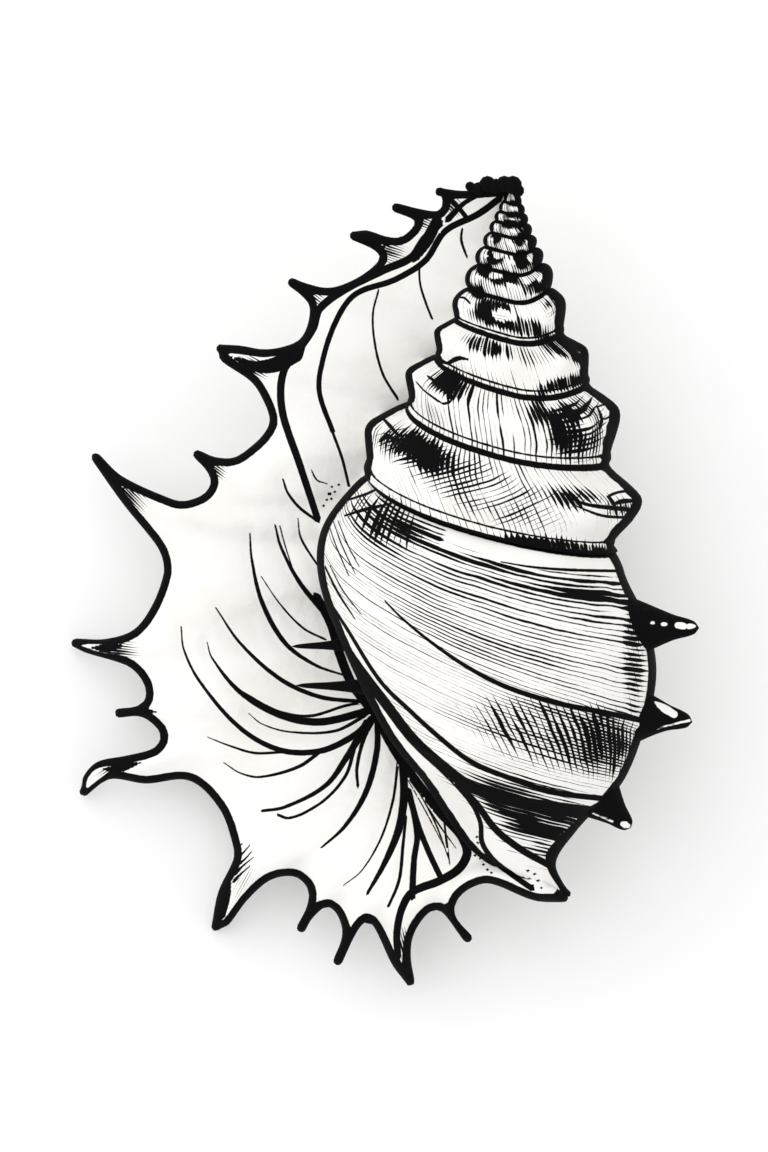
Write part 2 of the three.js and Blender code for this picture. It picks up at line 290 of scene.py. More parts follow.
def mouthPoint(u, v):
    last = len(mouth["stations"]) - 1
    at = v * last
    knots = list(enumerate(mouth["stations"]))
    middle = [through([(i, station[0][k]) for i, station in knots])(at) for k in range(3)]
    along = max(0, through([(i, station[1]) for i, station in knots])(at))
    across = max(0, through([(i, station[2]) for i, station in knots])(at))
    if v < 1e-6 or v > 1 - 1e-6:
        along, across = 0, 0
    angle = u * 2 * math.pi
    point = Vector(middle) + Vector(mouth["direction"]).normalized() * along * math.cos(angle)
    return point + middleShift + Vector((0, 0, across * math.sin(angle)))


def hollowBody():  # the body whorl with its mouth cut out, as a mesh
    parts = []
    for name, columns, rows, place in (
            ("bodyWhorl", body["columns"], body["rows"], bodyPoint),
            ("mouthHorn", mouth["sides"], mouth["steps"] * (len(mouth["stations"]) - 1), mouthPoint)):
        bm = bmesh.new()
        grid = bm.loops.layers.uv.new("grid")
        rolledGrid(bm, columns, rows, place)
        if name == "mouthHorn":
            for face in bm.faces:
                for loop in face.loops:
                    loop[grid].uv = (-1, -1)
        parts.append(meshObject(name, bm))
    whorl, horn = parts
    cut = whorl.modifiers.new("mouth", "BOOLEAN")
    cut.operation = "DIFFERENCE"
    cut.solver = "EXACT"
    cut.object = horn
    depsgraph = bpy.context.evaluated_depsgraph_get()
    mesh = bpy.data.meshes.new_from_object(whorl.evaluated_get(depsgraph))
    for part in parts:
        bpy.data.objects.remove(part)
    return mesh


# Lip: a flared sheet edged with spines. Each spine has its tip in the picture, the height of its tip, its
# root, and the point deep inside the coil that it radiates from; its web is the edge on to the next tip.
lipSpines = [
    {"tip": (507, 186), "tipZ": 39.5, "root": (22, 69, 37.5), "inner": (22.2, 66, 33),
     "web": [(485, 192), (460, 193)]},
    {"tip": (436, 191), "tipZ": 38, "root": (13, 67.2, 35.5), "inner": (21.5, 63, 32),
     "web": [(441, 199), (442, 207), (438, 213), (420, 211)]},
    {"tip": (392, 208), "tipZ": 35.5, "root": (7.6, 65, 34), "inner": (20.5, 58, 30.5),
     "web": [(415, 223), (411, 231), (400, 239), (386, 238), (367, 232)]},
    {"tip": (350, 236), "tipZ": 33, "root": (2, 59.8, 31.5), "inner": (19, 51, 28.5),
     "web": [(373, 251), (380, 259), (367, 273), (345, 285), (327, 289), (305, 284)]},
    {"tip": (289, 281), "tipZ": 29, "root": (-12, 50.6, 29), "inner": (17, 43, 26),
     "web": [(302, 297), (310, 308), (306, 331), (296, 343), (267, 350), (240, 346)]},
    {"tip": (217, 347), "tipZ": 21.5, "root": (-22.5, 38.6, 24.5), "inner": (14, 33, 24),
     "web": [(221, 361), (250, 381), (260, 394), (270, 420), (264, 434), (247, 450), (233, 458),
             (215, 457)]},
    {"tip": (194, 452), "tipZ": 16, "root": (-29.5, 20.3, 18), "inner": (10, 21, 19),
     "web": [(206, 470), (211, 482), (204, 494), (185, 501), (172, 499), (122, 476)]},
    {"tip": (92, 454), "tipZ": 9, "root": (-44.6, 15.4, 15), "inner": (7, 11, 13),
     "web": [(123, 504), (156, 545), (163, 561), (163, 576), (151, 607), (133, 630), (105, 639)]},
    {"tip": (70, 643), "tipEdge": 0.6, "tipZ": 0.8, "root": (-46.6, -11.6, 11), "inner": (8, 0, 6),
     "web": [(85, 653), (125, 665), (137, 674), (145, 688), (144, 701), (134, 707)]},
    {"tip": (114, 713), "tipZ": 5, "root": (-42.8, -23.6, 10.5), "inner": (9, -9, 5.5),
     "web": [(141, 717), (158, 730), (160, 740), (152, 749), (125, 756), (97, 762), (83, 776)]},
    {"tip": (79, 795), "tipEdge": 0.6, "tipZ": 0.8, "root": (-48.2, -33.4, 8.5), "inner": (10, -18, 7),
     "web": [(102, 783), (113, 779), (145, 784), (189, 781), (219, 809), (233, 847), (233, 860),
             (218, 892)]},
    {"tip": (213, 932), "tipEdge": 0.9, "tipZ": 0.8, "root": (-25, -51.7, 9.5), "inner": (13, -28, 10.5),
     "hatch": 0.25,
     "web": [(228, 926), (246, 902), (266, 883), (281, 877), (297, 878), (308, 890), (307, 906)]},
    {"tip": (299, 933), "tipZ": 7, "root": (-13, -58, 10.5), "inner": (15.5, -34, 14),
     "web": [(312, 919), (326, 907), (335, 912), (342, 928), (341, 941)]},
    {"tip": (336, 966), "tipZ": 5.5, "root": (-6.4, -63, 10.5), "inner": (17.5, -39, 16),
     "web": [(357, 932), (367, 921), (375, 929), (392, 965)]},
    {"tip": (411, 987), "tipZ": 5, "root": (3, -63.8, 12), "inner": (19.5, -44, 17.5),
     "web": [(411, 959), (412, 940), (419, 924), (431, 911), (441, 911)]},
    {"tip": (470, 942), "tipZ": 12, "root": (12.2, -59.4, 14.5), "inner": (20.5, -48, 20),
     "web": [(455, 915), (457, 900), (470, 888), (489, 883), (534, 900)]},
    {"tip": (568, 898), "tipZ": 18, "root": (27, -55.5, 19), "inner": (25, -51, 21), "hatch": 0, "web": []},
]
lip = {
    "sheet": (114, 146),  # of the grid that the lip is cut from
    "cell": 0.7,
    "half": 1.3,  # of its thickness
    "tipRadius": 0.85,  # of a spine's round end
    "tipReach": 1.15,  # how far a spine's droop reaches, in its own lengths
    "curve": 1.3,
    "roundness": 1.7,  # how far in from its edge the sheet thins
    "rise": 4.5,  # arch between the mouth and the edge
    "archSpines": (3, 8),  # the spines between which the arch begins
    "bend": 0.3,
    "steps": 24,  # from inside the coil to the edge
    "blend": (1.2, 0.15),  # how far heights blend at the edge, and how much more each mm inside it
    "blended": 48,  # heights in each blend
    "foldDepth": 0.4,
    "foldHalf": 1.2,
    "ledge": 1.2,  # step up to the upper lobe
    "ledgeHalf": 0.4,
    "ledgeReach": 6,
    "ledgeTop": (58, 46),  # heights between which the step ends
    "hatch": 0.8,  # painted shade, hatched at the root of a spine
    "hatchPlace": 0.85,
    "hatchReach": 0.3,
    "hatchSpacing": 0.45,
    "margin": 1.45,  # dark edge
    "tipEdge": 1.1,  # share of that edge at the tip of a spine, where the spine has none of its own
}
# Dark lines on the lip, as points of the picture and the width at the start, middle and end in pixels.
lobeEdge = ([(440, 225), (424, 241), (411, 259), (383, 272), (345, 291), (320, 310), (313, 330), (298, 352),
             (285, 370), (281, 392), (284, 418), (300, 465), (318, 520)], (8, 8, 7))
lobeStrokes = [
    lobeEdge,
    ([(500, 200), (478, 216), (445, 233), (425, 262), (395, 281), (355, 296), (335, 325), (321, 370),
      (320, 395), (333, 432)], (7, 6, 5)),
    ([(331, 428), (342, 458), (349, 486)], (3, 3, 3)),
    ([(379, 290), (373, 315), (375, 345), (383, 375), (398, 400)], (2, 2.5, 3)),
    ([(419, 266), (420, 285), (426, 305), (432, 320)], (2, 2.5, 2.5)),
    ([(462, 229), (461, 242), (467, 260)], (2, 3, 2)),
    ([(311, 469), (317, 480), (327, 484)], (1, 2, 1)),
    ([(444, 197), (458, 210), (468, 222)], (6, 5, 5)),
    ([(480, 196), (463, 206), (447, 222)], (5, 5, 7)),
]
foldStrokes = [
    ([(181, 626), (184, 650), (200, 682), (240, 728), (280, 750), (320, 751), (355, 735), (374, 716)],
     (1.5, 5, 7)),
    ([(207, 642), (212, 658), (240, 692), (280, 715), (320, 722), (372, 710)], (1, 7, 8)),
    ([(240, 690), (278, 711), (310, 716), (345, 706), (366, 702)], (1, 3, 3)),
    ([(216, 608), (240, 643), (280, 679), (320, 697), (366, 702)], (1.5, 4.5, 4)),
    ([(250, 533), (252, 560), (262, 602), (285, 643), (315, 665), (346, 676)], (1.5, 5, 2)),
    ([(261, 576), (280, 604), (303, 628), (326, 640)], (1, 2, 2.5)),
    ([(275, 524), (281, 547), (300, 583), (322, 610)], (2, 4, 6)),
    ([(280, 526), (285, 545), (292, 567)], (1.5, 1.5, 1.5)),
    ([(298, 518), (301, 538), (318, 566)], (1, 2.5, 2)),
    ([(283, 479), (288, 493), (300, 508), (319, 522)], (2, 3, 3)),
    ([(248, 713), (262, 724), (290, 732), (335, 731), (368, 714)], (1, 2.5, 4)),
    ([(207, 737), (230, 746), (255, 753), (284, 752)], (1, 2.5, 3)),
    ([(224, 763), (240, 773), (260, 777), (298, 767), (320, 752)], (1, 3, 4)),
    ([(262, 811), (285, 807), (325, 786), (347, 757), (368, 722)], (3, 5, 9)),
    ([(278, 815), (288, 818), (304, 813), (327, 798), (346, 775), (354, 750)], (3, 3, 4)),
    ([(358, 788), (357, 768), (364, 738), (374, 718)], (3, 4, 6)),
    ([(321, 848), (345, 826), (366, 792), (377, 750), (377, 716)], (2, 6, 6)),
    ([(344, 885), (362, 870), (381, 838), (393, 800), (398, 762)], (1, 2.5, 3)),
    ([(367, 894), (385, 862), (399, 828), (404, 795), (402, 755)], (3, 8, 8)),
    ([(388, 907), (399, 880), (403, 845), (406, 815)], (3, 3.5, 3)),
    ([(412, 897), (414, 860), (417, 835), (410, 795)], (7, 6, 6)),
]
cellShadeStrokes = [  # painted shade, hatched where the folds meet the canal deep in the mouth
    ([(441, 878), (428, 850), (417, 822), (408, 790)], (6, 6, 7)),
    ([(405, 775), (425, 810), (446, 850)], (1, 1.5, 1)),
    ([(412, 780), (434, 820), (450, 862)], (1, 2, 1)),
    ([(420, 795), (440, 826), (456, 848)], (1, 2, 1)),
    ([(444, 820), (447, 845), (450, 866)], (2, 2.5, 1)),
]
rootShadeStrokes = [  # painted shade at the roots of spines
    ([(438, 220), (428, 240), (414, 262)], (10, 12, 6)),
    ([(236, 359), (256, 367), (277, 365), (298, 353)], (4, 14, 18)),
    ([(92, 648), (106, 648), (124, 645)], (2, 9, 1)),
    ([(124, 713), (140, 711), (156, 712)], (9, 9, 1)),
    ([(104, 770), (118, 768), (140, 763)], (3, 9, 1)),
    ([(229, 872), (224, 895), (219, 918)], (3, 13, 11)),
    ([(235, 852), (239, 847), (243, 843)], (4, 2, 1)), ([(236, 860), (243, 853), (250, 845)], (4, 2, 1)),
    ([(235, 867), (244, 860), (253, 850)], (4, 2, 1)), ([(234, 875), (244, 865), (254, 857)], (4, 2, 1)),
    ([(233, 882), (242, 873), (250, 866)], (4, 2, 1)),
]
lipStrokes = lobeStrokes + foldStrokes + cellShadeStrokes + rootShadeStrokes
# The flared edge beside the canal and the lines of the body whorl.
innerEdge = [(316, 596), (330, 622), (340, 655), (352, 684), (375, 715), (395, 750), (412, 776), (440, 812),
             (460, 834), (467, 852), (459, 868), (440, 880), (412, 892), (402, 908), (397, 932), (398, 958)]
sharedStrokes = [
    (innerEdge, (9, 10, 7)),
    ([(434, 764), (455, 784), (472, 804), (480, 822), (482, 842), (494, 860), (512, 874), (532, 888)],
     (2, 5, 6)),
    ([(592, 810), (570, 831), (550, 853), (551, 867), (563, 888), (564, 895), (556, 898), (534, 896),
      (500, 884)], (10, 8, 7)),
]
bodyStrokes = [
    ([(386, 602), (402, 618), (430, 641), (460, 662), (492, 680), (522, 692), (560, 703), (600, 711),
      (642, 720)], (2, 5, 6)),
    ([(319, 586), (345, 625), (380, 680), (410, 710), (440, 737), (470, 760), (510, 777), (555, 791),
      (606, 798)], (3, 5, 6)),
    ([(326, 612), (350, 655), (385, 702), (412, 737), (440, 763), (470, 785), (515, 800), (590, 812)],
     (10, 11, 14)),
    ([(440, 764), (474, 800), (495, 828), (520, 848), (548, 864)], (4, 7, 7)),
    ([(500, 562), (530, 567), (570, 570), (616, 571)], (1.5, 3, 3)),
    ([(345, 516), (365, 510), (392, 504)], (2, 4, 2)),
    ([(343, 502), (372, 492), (385, 482)], (1.5, 3, 1.5)),
    ([(328, 522), (336, 545), (350, 578)], (1, 1.5, 1)),
    ([(333, 520), (342, 545), (356, 575)], (1, 1.5, 1)),
    ([(338, 520), (347, 543), (360, 568)], (1, 1.5, 1)),
    ([(325, 566), (338, 592), (356, 620)], (2, 2.5, 1)),
    ([(330, 565), (343, 590), (362, 615)], (1, 1.5, 1)),
]
# Ridges and knobs at the sides of the lower spire.
spireStrokes = [
    ([(382, 418), (391, 428), (398, 436)], (2, 4, 3)), ([(380, 442), (387, 437), (396, 442)], (4, 5, 3)),
    ([(427, 377), (440, 387), (452, 399)], (2, 5, 4)), ([(416, 383), (424, 392), (441, 405)], (1.5, 2, 2.5)),
    ([(452, 399), (448, 404), (441, 405)], (3, 3, 3)), ([(435, 356), (440, 362), (447, 365)], (2, 4, 3)),
    ([(447, 365), (458, 360), (467, 361)], (4, 5, 2)), ([(596, 408), (600, 420), (598, 431)], (2, 3.5, 3)),
    ([(596, 408), (603, 406), (608, 411)], (2, 2, 2)), ([(597, 418), (603, 420), (609, 417)], (2, 2, 2)),
    ([(606, 497), (616, 493), (630, 491)], (3, 3, 3)), ([(611, 505), (620, 502), (632, 501)], (3, 5, 4)),
    ([(606, 497), (609, 501), (611, 505)], (3, 3, 3)), ([(560, 494), (585, 505), (628, 510)], (1.5, 4, 5)),
    ([(575, 507), (600, 516), (625, 518)], (1.5, 3, 3)),
    ([(457, 299), (464, 300), (470, 306)], (1.5, 2.5, 2)),
]
# Grains on the lip above the body whorl and on the canal.
lipGrains = [(332, 487), (338, 485), (334, 492), (329, 494), (326, 500), (331, 499), (323, 506)]
canalGrains = [(527, 870), (534, 873), (528, 878), (537, 880), (531, 885), (522, 876), (540, 887),
               (476, 836), (477, 842), (475, 847), (478, 852), (474, 855), (480, 858), (483, 864),
               (487, 869), (491, 872)]
# Painted highlights: bright spots on the dark spines.
paintedGlints = [
    ([(650, 622), (652, 622)], (4, 4, 4)), ([(661, 624), (664, 624)], (4, 4, 4)),
    ([(676, 625), (683, 626)], (6, 7, 6)), ([(688, 626), (693, 626)], (6, 5, 3)),
    ([(654, 702), (662, 707), (673, 714)], (3, 8, 7)), ([(656, 728), (670, 724), (688, 720)], (2, 2, 3)),
    ([(622, 823), (627, 825)], (5, 7, 5)), ([(592, 812), (602, 816), (612, 821)], (2, 2.5, 2)),
]


def grainStrokes(grains):
    return [([(x, y), (x + 1, y)], (3, 3, 3)) for x, y in grains]


lipRootZ = through([(i, spine["root"][2]) for i, spine in enumerate(lipSpines)])
lipInner = [through([(i, spine["inner"][k]) for i, spine in enumerate(lipSpines)]) for k in range(3)]


def spineAxis(spine):  # from the tip to the root, seen from above
    return fromAbove(Vector(spine["root"]) + middleShift) - fromPicture(*spine["tip"])


def tipPoint(spine, degrees):  # on the round end of a spine: 0 on the side to its web, 90 at the tip
    axis = spineAxis(spine).normalized()
    across = Vector((axis.y, -axis.x, 0))
    way = across * math.cos(math.radians(degrees)) - axis * math.sin(math.radians(degrees))
    return fromPicture(*spine["tip"]) + (axis + way) * lip["tipRadius"]


def lipEdge():  # points round the edge of the sheet, each with the line that the sheet follows to it
    columns = []
    for order, (before, after) in enumerate(zip(lipSpines, lipSpines[1:])):
        web = [fromPicture(*corner) for corner in before["web"]]
        outline = smoothPath([tipPoint(before, 0), *web, tipPoint(after, 180)], 0.9)
        outline = [tipPoint(before, 90), tipPoint(before, 45), *outline, tipPoint(after, 135)]
        for i, point in enumerate(outline):
            share = i / len(outline)
            inward = spineAxis(before).normalized().lerp(spineAxis(after).normalized(), share).normalized()
            at = order + share
            inner = Vector([lipInner[k](at) for k in range(3)]) + middleShift
            columns.append({"at": at, "point": point, "inward": inward, "inner": inner})
    return columns + [dict(columns[-1], point=tipPoint(lipSpines[-1], degrees)) for degrees in (90, 45, 0)]


def nearestTree(points):
    tree = kdtree.KDTree(len(points))
    for i, point in enumerate(points):
        tree.insert(fromAbove(point), i)
    tree.balance()
    return tree


def strokeSamples(strokes):  # points along each stroke, with the way on and half the width
    samples = []
    for order, (points, widths) in enumerate(strokes):
        path = smoothPath([fromPicture(*point) for point in points], 0.25)
        width = through([(k / 2, w * picture["pixel"] / 2) for k, w in enumerate(widths)])
        for i, point in enumerate(path):
            ahead = (path[min(i + 1, len(path) - 1)] - path[max(i - 1, 0)]).normalized()
            end = -1 if i == 0 else 1 if i == len(path) - 1 else 0
            samples.append({"stroke": order, "point": point, "ahead": ahead, "end": end,
                            "half": width(i / (len(path) - 1))})
    return samples, nearestTree([sample["point"] for sample in samples])


def columnHeight(column, share, flat):  # of the sheet's middle, on the line from inside the coil to the edge
    at = column["at"]
    rootZ = lipRootZ(at)
    z = column["inner"].z + (rootZ - column["inner"].z) * share
    z += lip["rise"] * math.sin(math.pi * share ** lip["curve"]) * smoothstep(at, *lip["archSpines"])
    for order, spine in enumerate(lipSpines):
        near = smoothstep(abs(at - order), 1, 0)
        fromTip = (flat - fromPicture(*spine["tip"])).length
        reach = 1 - fromTip / (lip["tipReach"] * spineAxis(spine).length)
        z += near * (spine["tipZ"] - rootZ) * max(0, reach) ** lip["curve"]
    return z


def heightSamples(columns):
    samples = []
    for column in columns:
        start = fromAbove(column["inner"])
        bend = column["point"] + column["inward"] * lip["bend"] * (start - column["point"]).length
        for i in range(lip["steps"] + 1):
            share = i / lip["steps"]
            flat = start.lerp(bend, share).lerp(bend.lerp(column["point"], share), share)
            samples.append((flat, columnHeight(column, share, flat)))
    return samples


def denseLine(points):
    pairs = [(a, b) for a, b in zip(points, points[1:]) if a != b]
    return [point for pair in pairs for point in smoothPath(pair, 0.2)]


lipColumns = lipEdge()
edgePoints = [column["point"] for column in lipColumns]
innerPoints = [fromAbove(column["inner"]) for column in reversed(lipColumns)]
lipOutline = denseLine(edgePoints)
lipBorder = denseLine(edgePoints + innerPoints + edgePoints[:1])
outlineTree = nearestTree(lipOutline)
borderTree = nearestTree(lipBorder)
lipHeights = heightSamples(lipColumns)
heightTree = nearestTree([flat for flat, z in lipHeights])
foldTree = strokeSamples(foldStrokes)[1]
lobeSamples, lobeTree = strokeSamples([lobeEdge])
paintedGlintSamples, paintedGlintTree = strokeSamples(paintedGlints)
rootTree = nearestTree([fromPicture(*spine["tip"]) + spineAxis(spine) for spine in lipSpines])


def edgeDistance(point):
    return outlineTree.find(fromAbove(point))[2]


def onLip(point):  # the border runs anticlockwise, so the sheet is on its left
    place, index, away = borderTree.find(fromAbove(point))
    offset = fromAbove(point) - place
    before = place - lipBorder[index - 3]
    after = lipBorder[(index + 3) % len(lipBorder)] - place
    lefts = (before.cross(offset).z > 0, after.cross(offset).z > 0)
    return all(lefts) if before.cross(after).z > 0 else any(lefts)


def lipHeight(flat):
    atEdge, further = lip["blend"]
    reach = atEdge + further * edgeDistance(flat)
    total, weight = 0, 0
    for place, index, away in heightTree.find_n(flat, lip["blended"]):
        share = hump(away, reach)
        total += share * lipHeights[index][1]
        weight += share
    place, index, away = lobeTree.find(flat)
    side = lobeSamples[index]["ahead"].cross(flat - place).z
    ledge = smoothstep(side, -lip["ledgeHalf"], lip["ledgeHalf"]) * math.exp(-away / lip["ledgeReach"])
    ledge *= smoothstep(flat.y, *lip["ledgeTop"])
    groove = hump(foldTree.find(flat)[2], lip["foldHalf"])
    return total / weight + lip["ledge"] * ledge - lip["foldDepth"] * groove


def makeLip(bm):  # a grid cut to the outline, raised, and doubled into a sheet with a rounded edge
    columns, rows = (round(length / lip["cell"]) for length in lip["sheet"])
    stretch = Matrix.Diagonal((*lip["sheet"], 1, 1))
    made = bmesh.ops.create_grid(bm, x_segments=columns, y_segments=rows, size=0.5, matrix=stretch)
    verts = made["verts"]
    faces = list({face for vert in verts for face in vert.link_faces})
    outside = {vert for vert in verts if not onLip(vert.co)}
    spare = [face for face in faces if all(vert in outside for vert in face.verts)]
    bmesh.ops.delete(bm, geom=spare, context="FACES")
    faces = [face for face in faces if face.is_valid]
    upper = {vert for face in faces for vert in face.verts}
    lower = bmesh.ops.duplicate(bm, geom=faces)
    thickness = {}
    for vert in upper:
        if vert in outside:
            vert.co = borderTree.find(vert.co)[0]
        vert.co.z = 0
        thin = 1 - min(borderTree.find(vert.co)[2] / lip["roundness"], 1)
        half = lip["half"] * math.sqrt(max(0, 1 - thin ** 2))
        thickness[vert] = 0 if vert in outside else half
        vert.co.z = lipHeight(vert.co.copy())
    for vert in upper:
        under = lower["vert_map"][vert]
        under.co = vert.co - Vector((0, 0, thickness[vert]))
        vert.co.z += thickness[vert]
    faces += [item for item in lower["geom"] if isinstance(item, bmesh.types.BMFace)]
    bmesh.ops.remove_doubles(bm, verts=list({vert for face in faces for vert in face.verts}), dist=1e-4)
    faces = [face for face in faces if face.is_valid]
    bmesh.ops.recalc_face_normals(bm, faces=faces)
    return faces


# Spines of the body whorl, in the picture's order: three on the right, then two thorns at the mouth.
bodySpines = [
    {"root": (41, -8, 30), "bend": (50, -7.6, 31), "tip": (56.4, -7.9, 30), "radius": 7.2},
    {"root": (41, -23.4, 28.5), "bend": (49, -23.4, 29), "tip": (55.2, -24.8, 27.5), "radius": 7.4},
    {"root": (35, -34.6, 26.5), "bend": (40.5, -40.4, 26.4), "tip": (44.2, -43.8, 25), "radius": 7.4},
    {"root": (0, -10.6, 29), "bend": (-8, -11, 28.4), "tip": (-16.8, -11.2, 27), "radius": 2.2},
    {"root": (3, -18.4, 28), "bend": (-6, -18.4, 26.8), "tip": (-16, -18.2, 25), "radius": 2.4},
]
spineShape = {
    "sides": 32,
    "rings": 44,
    "profile": [(0, 1), (0.3, 0.66), (0.65, 0.33), (0.93, 0.16), (1, 0)],
}
spineProfile = through(spineShape["profile"])


def spinePoint(spine, u, v):
    root, bend, tip = (Vector(spine[key]) + middleShift for key in ("root", "bend", "tip"))
    middle = root.lerp(bend, v).lerp(bend.lerp(tip, v), v)
    ahead = (bend - root).lerp(tip - bend, v).normalized()
    sideways = ahead.cross(Vector((0, 0, 1))).normalized()
    upward = sideways.cross(ahead)
    radius = 0 if v < 1e-6 or v > 1 - 1e-6 else spine["radius"] * spineProfile(v)
    angle = u * 2 * math.pi
    return middle + (sideways * math.cos(angle) + upward * math.sin(angle)) * radius


# Dark knobs that crown the apex, as centre and radius.
apexKnobs = [((23.8, 70.3, 40), 1.2), ((22.9, 71.3, 40), 1.7), ((21.4, 71.5, 39.6), 1.5),
             ((19.9, 71.1, 39), 1.4), ((18.4, 71.5, 38.4), 1.5), ((16.8, 70.7, 37.8), 1.2),
             ((15.3, 71.1, 37.4), 0.9)]

# Painted shade on the coil, as patches: centre, half length and half width in the picture's pixels, tilt in
# degrees, how dark the hatching is there, and how dark the lines across it.
patches = [
    ((412, 450), 40, 18, 24, 1.1, 0.5), ((480, 490), 85, 26, 24, 0.2, 0.4),
    ((590, 503), 48, 11, 12, 0.9, 0.3), ((560, 546), 60, 6, 7, 1.2, 0), ((500, 425), 90, 45, 20, 0.3, 0),
    ((450, 386), 20, 14, 20, 1.2, 0.3), ((577, 430), 26, 34, 10, 0.7, 0.6),
    ((540, 408), 12, 20, 10, 0.8, 0.2), ((563, 425), 16, 26, 10, 0.5, 0.3),
    ((482, 347), 20, 9, 15, 1.1, 0.2), ((515, 357), 30, 10, 8, 0.5, 0),
    ((562, 350), 30, 10, 25, 1.2, 0.2), ((567, 384), 28, 7, -14, 1.2, 0), ((492, 314), 19, 13, 10, 1.9, 0.2),
    ((520, 328), 26, 9, 12, 1.2, 0), ((550, 314), 7, 14, 0, 1.0, 0.2), ((474, 293), 11, 6, 25, 1.7, 0),
    ((483, 272), 8, 7, 20, 1.8, 0), ((505, 281), 18, 7, 8, 1.8, 0), ((538, 287), 16, 8, -20, 1.3, 0),
    ((494, 259), 9, 7, 0, 1.7, 0), ((521, 262), 8, 9, 0, 1.8, 0), ((537, 268), 9, 6, 0, 1.2, 0),
    ((495, 240), 6, 5, 0, 1.4, 0), ((518, 243), 6, 6, 0, 1.4, 0), ((511, 227), 10, 5, 0, 1.3, 0),
    ((514, 218), 9, 4, 0, 1.2, 0), ((513, 206), 6, 3, 0, 1.2, 0), ((525, 230), 7, 12, 20, 0.8, 0),
    ((385, 520), 42, 22, 28, 0.5, 0.7), ((450, 548), 70, 12, 24, 0.4, 0), ((560, 582), 75, 14, 10, 0.45, 0),
    ((600, 600), 45, 22, 10, 0.35, 0), ((632, 650), 10, 60, 0, 0.5, 0.3), ((480, 600), 150, 75, 24, 0.2, 0),
    ((560, 735), 95, 34, 14, 0.25, 0.5), ((605, 740), 30, 34, 0, 0.35, 0.4),
    ((545, 818), 66, 30, 32, 0.7, 0.1), ((502, 802), 46, 16, 38, 0.45, 0),
    # Painted highlights: knobs and ridges that stay pale.
    ((500, 317), 7, 6, 20, -6, 0), ((551, 321), 7, 4, -25, -5, 0), ((466, 300), 6, 6, 20, -2, 0),
    ((495, 277), 6, 4, 0, -5, 0), ((526, 280), 7, 5, 0, -5, 0), ((497, 256), 5, 5, 0, -5, 0),
    ((530, 259), 4, 4, 0, -3, 0), ((548, 404), 6, 8, 20, -1.5, 0),
]
coilLines = {
    # Width of the dark line along each side, by height in the picture: an outline, wider on the right as
    # painted shade.
    "leftEdge": [(-56, 0.8), (-44, 1.3), (30, 1.3), (66, 0.7)],
    "rightEdgeAndShade": [(-56, 0.8), (-46, 1.5), (40, 1.6), (56, 2), (68, 1.2)],
    "edgeStep": 0.5,  # between points of that line
    "edgeBelow": 0.8,  # how far it reaches round to the back
    "backTone": 0.16,
    "frontSines": (-0.1, 0.2),  # of the turn, between back and front
}
leftEdge = through(coilLines["leftEdge"])
rightEdgeAndShade = through(coilLines["rightEdgeAndShade"])


def shadeAt(point):
    x = point.x / picture["pixel"] + picture["midX"]
    y = picture["midY"] - point.y / picture["pixel"]
    tone, cross = 0, 0
    for (midX, midY), length, width, tilt, dark, across in patches:
        c, s = math.cos(math.radians(tilt)), math.sin(math.radians(tilt))
        along = ((x - midX) * c + (y - midY) * s) / length
        aside = ((y - midY) * c - (x - midX) * s) / width
        away = along * along + aside * aside
        if away < 4:
            fade = hump(away, 1)
            tone += dark * fade
            cross += across * fade
    return max(tone, 0), cross


def coilSides(verts):  # the left and the right side of the coil as seen from above, each a line and its tree
    rows = {}
    rowHeight = coilLines["edgeStep"]
    for vert in verts:
        row = round(vert.co.y / rowHeight)
        left, right = rows.get(row, (vert.co, vert.co))
        rows[row] = (min(left, vert.co, key=lambda co: co.x), max(right, vert.co, key=lambda co: co.x))
    sides = []
    for k in (0, 1):
        points = [Vector((rows[row][k].x, row * rowHeight, rows[row][k].z)) for row in sorted(rows)]
        line = denseLine(points)
        sides.append((line, nearestTree(line)))
    return sides


def coilOutline(point):  # how far inside the dark line along the sides of the coil, in mm
    room = -1
    for (line, tree), width in zip(sidesOfCoil, (leftEdge, rightEdgeAndShade)):
        place, index, away = tree.find(fromAbove(point))
        if point.z > line[index].z - coilLines["edgeBelow"]:
            room = max(room, width(point.y) - away)
    return room


def frontShare(turn):  # 1 on the front of the coil, 0 on its back
    return smoothstep(math.sin(turn * 2 * math.pi), *coilLines["frontSines"])


def setMarks(loop, **values):
    for name, value in values.items():
        loop[marks[name]] = value


spireLines = {
    "count": 128,  # round the last whorl
    "fewer": 0.93,  # share of them on each whorl above
    "tone": 0.1,
    "upperShade": 0.4,  # painted shade between the pale knobs of the upper spire
    "upperFrom": (46, 56),
    # pale knob tops, a painted highlight
    "knobHighlight": 1.2,
    "lean": (3, 9),  # in lines down a whorl: upper whorls, last whorl
    "crossCount": 13,
    "crossLean": (13, 93),
    "seam": 0.3,
    "seamGrowth": 0.02,
    "rimHalf": 0.16,
    "rimPlace": 0.13,  # up from the lower seam, as a share of the whorl
    "rimWhorls": 4,
}


